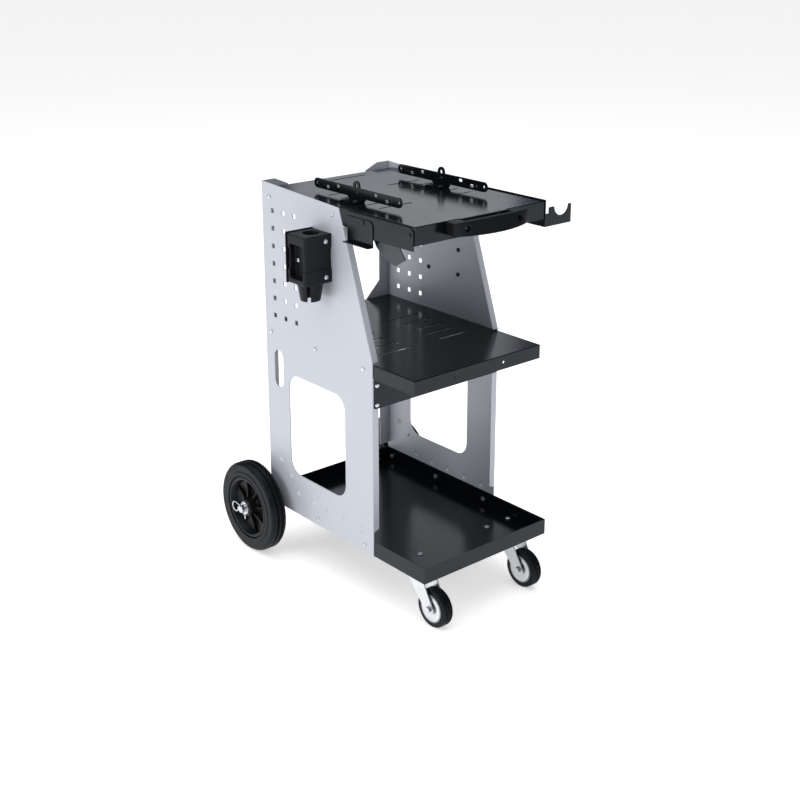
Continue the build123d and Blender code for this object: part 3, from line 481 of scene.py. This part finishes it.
def dome(radius, height):
    """Half a profile for a domed head, from its underside to its top."""
    points = [(0, 0), (radius * 0.96, 0), (radius, height * 0.10), (radius, height * 0.35)]
    for step in range(1, dome_steps):
        angle = pi / 2 * step / dome_steps
        points.append((radius * (0.45 + 0.55 * cos(angle)), height * (0.35 + 0.65 * sin(angle))))
    return points + [(radius * 0.45, height), (0, height)]


def cut(piece, tool):
    """Cuts the tool out of the piece and leaves a plain mesh."""
    modifier = piece.modifiers.new("cut", "BOOLEAN")
    modifier.operation = "DIFFERENCE"
    modifier.object = tool
    modifier.solver = "EXACT"
    cut_mesh = bpy.data.meshes.new_from_object(piece.evaluated_get(bpy.context.evaluated_depsgraph_get()))
    piece.modifiers.clear()
    piece.data = cut_mesh
    bpy.data.objects.remove(tool)


screw_head = piece_from(lathe(dome(head_radius, head_height), 32), "screw_head_pattern", zinc)
for turn in (0.0, pi / 2):
    work = bmesh.new()
    bmesh.ops.create_cube(work, size=1.0)
    bmesh.ops.scale(work, vec=(recess_length, recess_width, recess_depth), verts=work.verts)
    for vertex in work.verts:
        if vertex.co.z < 0:
            vertex.co.x *= 0.45
            vertex.co.y *= 0.6
    bmesh.ops.rotate(work, verts=work.verts, matrix=Matrix.Rotation(turn, 3, "Z"))
    bmesh.ops.translate(work, verts=work.verts, vec=(0, 0, head_height))
    cut(screw_head, piece_from(work, "recess_tool", zinc))

shank_profile = [(0, 0), (1, 0), (1, 1), (0, 1)]
shank = piece_from(lathe(shank_profile, 20), "shank_pattern", zinc)

work = bmesh.new()
nut_corner = nut_across / 3**0.5
bmesh.ops.create_cone(
    work, cap_ends=True, segments=6, radius1=nut_corner, radius2=nut_corner, depth=nut_height
)
nut_edges = [edge for edge in work.edges if edge.calc_face_angle(0.0) > radians(30.0)]
bmesh.ops.bevel(work, geom=nut_edges, offset=nut_chamfer, segments=2, profile=0.5, affect="EDGES")
nut = piece_from(work, "nut_pattern", zinc)
print("screw head", len(screw_head.data.polygons), "faces")

# %% [markdown]
# ## Copies at points
# The tree takes a mesh of points. Each point carries the direction that its copy faces and how far the
# copy is stretched, so one tree serves heads, shanks and nuts.


# %% A Geometry Nodes tree that sets copies at points
def copying_tree():
    """Instances of a shape on points, turned and stretched by the points' own attributes."""
    tree = bpy.data.node_groups.new("copies_at_points", "GeometryNodeTree")
    tree.is_modifier = True
    tree.interface.new_socket("Points", in_out="INPUT", socket_type="NodeSocketGeometry")
    tree.interface.new_socket("Shape", in_out="INPUT", socket_type="NodeSocketObject")
    tree.interface.new_socket("Finish", in_out="INPUT", socket_type="NodeSocketMaterial")
    tree.interface.new_socket("Copies", in_out="OUTPUT", socket_type="NodeSocketGeometry")
    entry = tree.nodes.new("NodeGroupInput")
    leave = tree.nodes.new("NodeGroupOutput")
    shape = tree.nodes.new("GeometryNodeObjectInfo")
    turn = tree.nodes.new("FunctionNodeAlignRotationToVector")
    turn.axis = "Z"
    copies = tree.nodes.new("GeometryNodeInstanceOnPoints")
    realize = tree.nodes.new("GeometryNodeRealizeInstances")
    colour = tree.nodes.new("GeometryNodeSetMaterial")
    facing = tree.nodes.new("GeometryNodeInputNamedAttribute")
    stretch = tree.nodes.new("GeometryNodeInputNamedAttribute")
    for field, name in ((facing, "facing"), (stretch, "stretch")):
        field.data_type = "FLOAT_VECTOR"
        field.inputs["Name"].default_value = name
    links = (
        (entry.outputs["Points"], copies.inputs["Points"]),
        (entry.outputs["Shape"], shape.inputs["Object"]),
        (shape.outputs["Geometry"], copies.inputs["Instance"]),
        (facing.outputs["Attribute"], turn.inputs["Vector"]),
        (turn.outputs["Rotation"], copies.inputs["Rotation"]),
        (stretch.outputs["Attribute"], copies.inputs["Scale"]),
        (copies.outputs["Instances"], realize.inputs["Geometry"]),
        (realize.outputs["Geometry"], colour.inputs["Geometry"]),
        (entry.outputs["Finish"], colour.inputs["Material"]),
        (colour.outputs["Geometry"], leave.inputs["Copies"]),
    )
    for start, end in links:
        tree.links.new(start, end)
    return tree


copies_at_points = copying_tree()


def set_copies(name, shape, material, places):
    """Copies of a shape at (point, facing, stretch) places, as one plain mesh."""
    mesh = bpy.data.meshes.new(name)
    mesh.from_pydata([tuple(point) for point, _, _ in places], [], [])
    for attribute, index in (("facing", 1), ("stretch", 2)):
        values = mesh.attributes.new(attribute, "FLOAT_VECTOR", "POINT")
        values.data.foreach_set("vector", [value for place in places for value in place[index]])
    holder = bpy.data.objects.new(name, mesh)
    scene.collection.objects.link(holder)
    modifier = holder.modifiers.new("copies", "NODES")
    modifier.node_group = copies_at_points
    for item in copies_at_points.interface.items_tree:
        if item.name == "Shape":
            modifier[item.identifier] = shape
        if item.name == "Finish":
            modifier[item.identifier] = material
    evaluated = holder.evaluated_get(bpy.context.evaluated_depsgraph_get())
    plain = bpy.data.meshes.new_from_object(evaluated)
    bpy.data.objects.remove(holder)
    return plain


def joined(name, meshes, material):
    """Several plain meshes as one object."""
    work = bmesh.new()
    for mesh in meshes:
        work.from_mesh(mesh)
    return piece_from(work, name, material)


# %% [markdown]
# ## Reading the screws
# Each loose shell of a screw node is either a screw, longer than its head is wide, or a nut. A screw
# faces the end where it is widest.


# %% Find every screw and nut
nut_slack = 0.2 * MM
widest_nut = 12.0 * MM
shank_overlap = 0.3 * MM
holder_shank_radius = 2.5 * MM


def shells(node):
    """The corner points of each loose shell of a node."""
    work = welded(node)
    work.verts.ensure_lookup_table()
    seen = set()
    found = []
    for first in work.verts:
        if first.index in seen:
            continue
        seen.add(first.index)
        waiting = [first]
        points = []
        while waiting:
            vertex = waiting.pop()
            points.append(vertex.co[:])
            for edge in vertex.link_edges:
                other = edge.other_vert(vertex)
                if other.index not in seen:
                    seen.add(other.index)
                    waiting.append(other)
        found.append(np.array(points))
    work.free()
    return found


def screw_place(points):
    """Where a screw's head sits, the way that it faces, the length below the head and the head's radius."""
    low, high = points.min(axis=0), points.max(axis=0)
    size = high - low
    axis = int(np.argmax(size))
    centre = (low + high) / 2
    others = [index for index in range(3) if index != axis]
    reach = np.hypot(points[:, others[0]] - centre[others[0]], points[:, others[1]] - centre[others[1]])
    sign = 1.0 if points[reach > 0.8 * reach.max(), axis].mean() > centre[axis] else -1.0
    facing = np.zeros(3)
    facing[axis] = sign
    seat = centre.copy()
    seat[axis] = (high[axis] if sign > 0 else low[axis]) - sign * head_height
    return Vector(seat), Vector(facing), float(size[axis]) - head_height, float(reach.max())


def dress_screws(node, radius=shank_radius):
    """Replaces a node of plain screws with recessed heads, shanks and nuts."""
    heads, shanks, nuts = [], [], []
    finish_here = material_of_slot[slot_of_node[node]]
    for points in shells(node):
        size = points.max(axis=0) - points.min(axis=0)
        if abs(size.min() - nut_height) < nut_slack and size.max() < widest_nut:
            facing = [1.0 if index == int(np.argmin(size)) else 0.0 for index in range(3)]
            nuts.append(((points.max(axis=0) + points.min(axis=0)) / 2, facing, (1, 1, 1)))
            continue
        seat, facing, length, width = screw_place(points)
        heads.append((seat, facing, (width / head_radius, width / head_radius, 1)))
        shanks.append((seat - facing * length, facing, (radius, radius, length + shank_overlap)))
    meshes = [set_copies(f"{node}_heads", screw_head, finish_here, heads)]
    meshes.append(set_copies(f"{node}_shanks", shank, finish_here, shanks))
    if nuts:
        meshes.append(set_copies(f"{node}_nuts", nut, finish_here, nuts))
    piece = joined(f"{node}_finished", meshes, finish_here)
    take_over(piece, node)
    print(node, len(heads), "screws", len(nuts), "nuts")


for node in (
    "panel_screws",
    "apron_screws",
    "bracket_screws",
    "handle_screws",
    "rack_bolts",
    "axle_bracket_bolts",
    "castor_bolts",
    "accessory_screws",
):
    dress_screws(node)
dress_screws("torch_holder_screws", holder_shank_radius)
for pattern in (screw_head, shank, nut):
    bpy.data.objects.remove(pattern)

# %% [markdown]
# ## Tyres
# A solid rubber tyre is turned: a flat tread with grooves round it, a round shoulder and a sidewall with
# a raised ring round the rim. One profile with different sizes serves the wheels and the castors.


# %% Turn the tyres
shoulder_steps = 7
# Shares of the groove's width and depth, across the groove
groove_section = ((-0.5, 0.0), (-0.3, 0.85), (0.0, 1.0), (0.3, 0.85), (0.5, 0.0))


def tyre_profile(outer, inner, half_width, shoulder, grooves, groove_width, groove_depth):
    """(radius, offset) points of a grooved tyre, from one inner corner round to the other."""
    step_radius = inner + 0.5 * (outer - shoulder - inner)
    step_height = 0.06 * half_width
    points = [(inner, -half_width + shoulder * 0.25), (inner + shoulder * 0.15, -half_width)]
    points += [(step_radius, -half_width), (step_radius + step_height, -half_width + step_height)]
    points.append((outer - shoulder, -half_width + step_height))
    tread_half = half_width - shoulder
    for step in range(1, shoulder_steps):
        angle = pi / 2 * step / shoulder_steps
        rise = max(shoulder * (1 - cos(angle)), step_height)
        points.append((outer - shoulder * (1 - sin(angle)), -half_width + rise))
    points.append((outer, -tread_half))
    for centre in grooves:
        for offset, depth in groove_section:
            points.append((outer - groove_depth * depth, centre + offset * groove_width))
    points.append((outer, tread_half))
    for step in range(shoulder_steps - 1, 0, -1):
        angle = pi / 2 * step / shoulder_steps
        rise = max(shoulder * (1 - cos(angle)), step_height)
        points.append((outer - shoulder * (1 - sin(angle)), half_width - rise))
    points.append((outer - shoulder, half_width - step_height))
    points += [(step_radius + step_height, half_width - step_height), (step_radius, half_width)]
    points += [(inner + shoulder * 0.15, half_width), (inner, half_width - shoulder * 0.25)]
    return points


def radius_of(node):
    """The radius of a round node that turns about X."""
    low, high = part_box(node)
    return (high[2] - low[2]) / 2


def turn_tyre(node, rim, shoulder, groove_places, groove_width, groove_depth, steps):
    """A grooved tyre in place of a node, on the rim that is named."""
    low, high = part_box(node)
    outer = radius_of(node)
    half = (high[0] - low[0]) / 2
    grooves = [share * half for share in groove_places]
    profile = tyre_profile(outer, radius_of(rim), half, shoulder, grooves, groove_width, groove_depth)
    piece = piece_from(lathe(profile, steps, "X", middle(node)), f"{node}_finished", rubber)
    take_over(piece, node)
    print(node, "radius", round(outer, 4), len(piece.data.polygons), "faces")


wheel_tread = {
    "shoulder": 11.0 * MM,
    "groove_places": (-0.26, 0.30),
    "groove_width": 6.5 * MM,
    "groove_depth": 4.5 * MM,
    "steps": 128,
}
castor_tread = {
    "shoulder": 5.0 * MM,
    "groove_places": (-0.42, 0.0, 0.42),
    "groove_width": 3.6 * MM,
    "groove_depth": 2.4 * MM,
    "steps": 96,
}
for side in ("left", "right"):
    turn_tyre(f"{side}_wheel_tyre", f"{side}_wheel_rim", **wheel_tread)
    turn_tyre(f"{side}_castor_tyre", f"{side}_castor_wheel_core", **castor_tread)

# %% [markdown]
# ## Rims
# The rear rim is one black moulding: a rolled lip outside, a well that drops to a web, a hub, and ribs
# that stand on the web. The solid of turning is made first, and the ribs are copies set round it by the
# same tree.

# %% Mould the rims
hub_radius = 20.0 * MM
web_half = 3.0 * MM
rim_turns = 128
rib_count = 8
rib_start = 0.3
rib_inset = 12.0 * MM
rib_thickness = 3.2 * MM
rib_edge = 0.5 * MM
# The rib's width as a share of half the tyre's, and what is left of it at the outer end
rib_share = 1.30
rib_taper = 0.62


def rim_profile(outer, hub, bore, half_width, hub_half):
    """(radius, offset) points of the rim, outer face first and then the inner face."""
    face = [
        (bore, hub_half),
        (hub - 2 * MM, hub_half),
        (hub, hub_half - 2 * MM),
        (hub + 1.5 * MM, 5 * MM),
        (hub + 4 * MM, web_half),
        (outer - 17 * MM, web_half),
        (outer - 13 * MM, 5 * MM),
        (outer - 9 * MM, half_width - 5 * MM),
        (outer - 7.5 * MM, half_width - 2.5 * MM),
        (outer - 5.5 * MM, half_width - 1.2 * MM),
        (outer - 3.0 * MM, half_width - 1.2 * MM),
        (outer - 0.8 * MM, half_width - 2.2 * MM),
        (outer, half_width - 4.0 * MM),
    ]
    return face + [(radius, -offset) for radius, offset in reversed(face)]


def mould_rim(side):
    """A rim with ribs on both faces, in place of its node."""
    node = f"{side}_wheel_rim"
    low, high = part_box(node)
    tyre_low, tyre_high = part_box(f"{side}_wheel_tyre")
    centre = middle(node)
    outer = radius_of(node)
    half = (tyre_high[0] - tyre_low[0]) / 2
    profile = rim_profile(outer, hub_radius, radius_of(f"{side}_wheel_bush"), half, (high[0] - low[0]) / 2)
    turned = piece_from(lathe(profile, rim_turns, "X", centre), "turned_rim", rim_plastic)
    rib_length = outer - rib_inset - hub_radius
    rib_height = half * rib_share
    work = bmesh.new()
    bmesh.ops.create_cube(work, size=1.0)
    bmesh.ops.scale(work, vec=(rib_height, rib_thickness, rib_length), verts=work.verts)
    for vertex in work.verts:
        vertex.co.z += hub_radius + rib_length / 2
        if vertex.co.z > hub_radius + rib_length / 2:
            vertex.co.x *= rib_taper
    bmesh.ops.bevel(work, geom=work.edges[:], offset=rib_edge, segments=2, profile=0.5, affect="EDGES")
    rib = piece_from(work, "rib_pattern", rim_plastic)
    places = []
    for step in range(rib_count):
        angle = tau * (step + rib_start) / rib_count
        places.append((centre, (0.0, sin(angle), cos(angle)), (1, 1, 1)))
    ribs = set_copies("ribs", rib, rim_plastic, places)
    piece = joined(f"{node}_finished", [turned.data, ribs], rim_plastic)
    bpy.data.objects.remove(turned)
    bpy.data.objects.remove(rib)
    take_over(piece, node)
    print(node, len(piece.data.polygons), "faces")


for side in ("left", "right"):
    mould_rim(side)

# %% [markdown]
# ## Castor discs
# Each castor wheel is closed by a pressed steel disc on both faces. It has a raised ring and a dished
# middle, which is what catches the light.


# %% Press the discs
disc_bore = 4.4 * MM
disc_sheet = 1.0 * MM
disc_rise = 0.9 * MM
disc_turns = 72
# Each step's share of the disc's radius, and its share of the full rise
disc_steps = ((0.35, 1.0), (0.42, 0.4), (0.61, 0.4), (0.69, 1.0), (0.81, 1.0), (0.90, 0.3))


def press_discs(side):
    """Two pressed discs in place of the plain ones."""
    node = f"{side}_castor_discs"
    low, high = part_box(node)
    centre = middle(node)
    outer = radius_of(node)
    inner_face = (high[0] - low[0]) / 2 - disc_sheet
    outline = [(disc_bore, inner_face + disc_rise)]
    outline += [(share * outer, inner_face + rise * disc_rise) for share, rise in disc_steps]
    outline += [(outer, inner_face + 0.2 * disc_rise), (outer, inner_face), (disc_bore, inner_face)]
    meshes = []
    for face in (-1, 1):
        points = [(radius, face * height) for radius, height in outline]
        disc = piece_from(lathe(points, disc_turns, "X", centre), f"disc_{face}", zinc)
        meshes.append(disc.data)
        bpy.data.objects.remove(disc)
    piece = joined(f"{node}_finished", meshes, zinc)
    take_over(piece, node)
    print(node, "radius", round(outer, 4))


for side in ("left", "right"):
    press_discs(side)

# %% [markdown]
# ## Retaining clips
# A hairpin clip of spring wire holds each rear wheel: one straight leg goes through the axle, and the
# other springs round it from a loop. It is a curve with a round section, because wire is exactly that.

# %% Bend the clips
wire_radius = 1.4 * MM
loop_radius = 11.0 * MM
loop_middle = 27.0 * MM
loop_points = 12
loop_turn = 28.0
clip_tilt = radians(14.0)
clip_gap = 0.4 * MM
# Places along the straight leg, and (along, aside) places of the other leg from where it hugs the axle, in mm
straight_leg = (-19.0, -8.0, 4.0, 16.0)
hugging_leg = ((8.0, -1.0), (3.0, 0.0), (-3.0, 0.0), (-8.0, 1.5), (-11.0, -2.0), (-13.0, -9.0))


def clip_path():
    """(along, aside) points of the wire: a straight leg, a loop and a leg that hugs the axle."""
    path = [(along * MM, 0.0) for along in straight_leg]
    for step in range(loop_points):
        angle = radians(90.0 - loop_turn * step)
        path.append((loop_middle + loop_radius * cos(angle), loop_radius * (sin(angle) - 1.0)))
    hug = axle_radius + wire_radius + clip_gap
    path += [(along * MM, aside * MM - hug) for along, aside in hugging_leg]
    return path


def bend_clip(side):
    """A hairpin clip in place of the plain wire."""
    node = f"{side}_spring_clip"
    centre = middle(node)
    axle = middle("rear_axle")
    curve = bpy.data.curves.new(node, "CURVE")
    curve.dimensions = "3D"
    curve.bevel_depth = wire_radius
    curve.bevel_resolution = 4
    curve.use_fill_caps = True
    path = clip_path()
    spline = curve.splines.new("NURBS")
    spline.points.add(len(path) - 1)
    for point, (along, aside) in zip(spline.points, path):
        y = axle.y + along * cos(clip_tilt) - aside * sin(clip_tilt)
        z = axle.z + along * sin(clip_tilt) + aside * cos(clip_tilt)
        point.co = (centre.x, y, z, 1.0)
    spline.order_u = 4
    spline.use_endpoint_u = True
    spline.resolution_u = 6
    wire = bpy.data.objects.new(f"{node}_wire", curve)
    scene.collection.objects.link(wire)
    mesh = bpy.data.meshes.new_from_object(wire.evaluated_get(bpy.context.evaluated_depsgraph_get()))
    bpy.data.objects.remove(wire)
    piece = joined(f"{node}_finished", [mesh], zinc)
    take_over(piece, node)
    print(node, "loop", round(2 * loop_radius, 4))


axle_radius = radius_of("rear_axle")
for side in ("left", "right"):
    bend_clip(side)

# %% [markdown]
# ## Stage, light and camera
# A pale floor that glows a little and runs to the horizon, a large soft light above, one on the left, a
# weak one in front and a small one behind on the right. The surroundings look darker to glossy
# reflections than they are, so that the black coat stays black.

# %% Floor and lights
floor_mesh = bpy.data.meshes.new("floor")
far = 60.0
corners = [(-far, -far, 0), (far, -far, 0), (far, far, 0), (-far, far, 0)]
floor_mesh.from_pydata(corners, [], [(0, 1, 2, 3)])
floor = bpy.data.objects.new("floor", floor_mesh)
scene.collection.objects.link(floor)


def pale_floor(place):
    """Paper, a little uneven."""
    cloud = place.noise(1.5, 2.0)
    return {"Base Color": cloud.mix(grey(0.86), grey(0.89))}


glow = {"Roughness": 0.7, "Emission Color": grey(1.0), "Emission Strength": 0.47}
floor_mesh.materials.append(finish("pale_floor", glow, pale_floor))

world = bpy.data.worlds.new("studio")
world.use_nodes = True
sky = world.node_tree.nodes["Background"]
sky.inputs["Strength"].default_value = 1.0
seen_in_gloss = Wire(world.node_tree).node("ShaderNodeLightPath", output="Is Glossy Ray")
dim_walls = seen_in_gloss.mix(grey(0.55), (0.07, 0.10, 0.14, 1.0))
world.node_tree.links.new(dim_walls.socket, sky.inputs["Color"])
scene.world = world


def soft_light(name, place, target, size, power):
    """A square area light aimed at a point."""
    lamp = bpy.data.lights.new(name, "AREA")
    lamp.size = size
    lamp.energy = power
    light = bpy.data.objects.new(name, lamp)
    light.location = place
    light.rotation_euler = (Vector(target) - Vector(place)).to_track_quat("-Z", "Y").to_euler()
    scene.collection.objects.link(light)


soft_light("top", (-0.6, 0.2, 4.2), (0, 0, 0), 5.0, 130)
soft_light("left", (-3.4, 0.6, 1.5), (0, 0, 0.5), 1.8, 40)
soft_light("front", (0.4, -3.6, 1.0), (0, 0, 0.5), 1.6, 12)
soft_light("rear", (2.7, 3.1, 2.1), (0, 0, 0.8), 1.2, 4.0)

# %% [markdown]
# ## Camera
# The trolley is seen from its front left corner and from above its top shelf, with a slightly long lens.

# %% Aim the camera
eye = Vector((-1.647, -1.960, 1.349))
heading = radians(40.49)
dip = radians(17.8)
camera_data = bpy.data.cameras.new("camera")
camera_data.lens = 58.5
camera_data.shift_y = -0.094
camera = bpy.data.objects.new("camera", camera_data)
camera.location = eye
camera.rotation_euler = (pi / 2 - dip, 0, -heading)
scene.collection.objects.link(camera)
scene.camera = camera
scene.view_settings.view_transform = "Standard"
